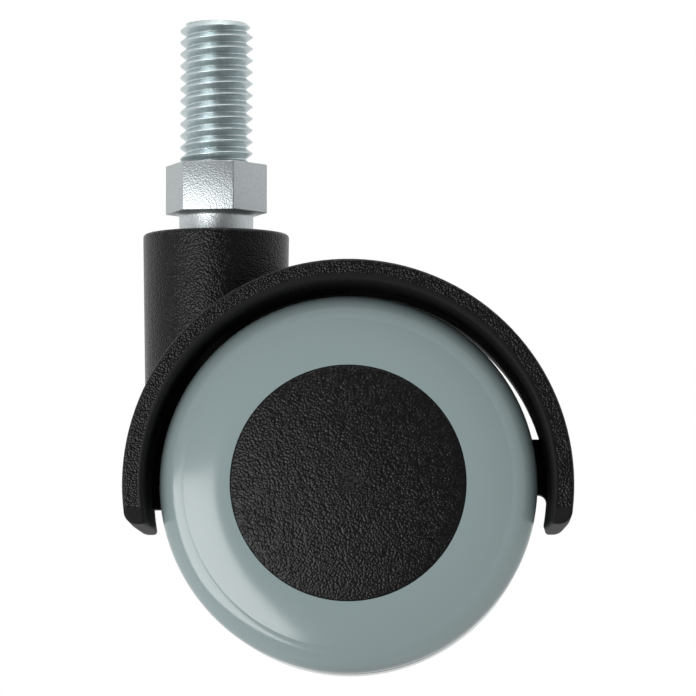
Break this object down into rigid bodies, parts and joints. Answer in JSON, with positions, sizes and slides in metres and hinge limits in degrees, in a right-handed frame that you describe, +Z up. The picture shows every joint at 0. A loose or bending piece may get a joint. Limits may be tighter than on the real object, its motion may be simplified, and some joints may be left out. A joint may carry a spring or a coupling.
{
  "type": "levelling castor",
  "caption": "Twin-wheel swivel castor with a threaded levelling stem, spanner hex, moulded hood and soft tyres.",
  "frame": {"origin": "on the swivel axis, in the upper face of the spanner hex, where the castor seats against furniture", "axes": "+Z up the threaded stem; wheels trail towards +X; the wheels' axle runs along Y"},
  "size_m": [0.0478, 0.026, 0.0704],
  "materials": {
    "zinc_steel": "bright zinc plate",
    "spring_steel": "plain",
    "axle_steel": "ground",
    "black_acetal": "smooth moulded",
    "black_nylon": "fine leather-like mould grain",
    "cap_plastic": "fine leather-like mould grain",
    "core_plastic": "smooth moulded",
    "grey_tyre": "glossy soft polyurethane"
  },
  "bodies": {
    "stem_body": {"stem": "zinc_steel", "retaining_ring": "spring_steel"},
    "swivel_body": {"housing": "black_nylon", "swivel_bush": "black_acetal", "thrust_washer": "spring_steel", "axle": "axle_steel", "axle_washer_near": "black_acetal", "axle_washer_far": "black_acetal", "lock_ring_near": "spring_steel", "lock_ring_far": "spring_steel"},
    "wheel_near": {"tyre_near": "grey_tyre", "wheel_core_near": "core_plastic", "hub_cap_near": "cap_plastic"},
    "wheel_far": {"tyre_far": "grey_tyre", "wheel_core_far": "core_plastic", "hub_cap_far": "cap_plastic"}
  },
  "joints": [
    {"name": "swivel", "type": "hinge", "parent": "stem_body", "child": "swivel_body", "pos_m": [0, 0, 0], "axis": [0, 0, 1], "continuous": true},
    {"name": "wheel_near_spin", "type": "hinge", "parent": "swivel_body", "child": "wheel_near", "pos_m": [0.0144, 0, -0.035], "axis": [0, 1, 0], "continuous": true},
    {"name": "wheel_far_spin", "type": "hinge", "parent": "swivel_body", "child": "wheel_far", "pos_m": [0.0144, 0, -0.035], "axis": [0, 1, 0], "continuous": true}
  ]
}
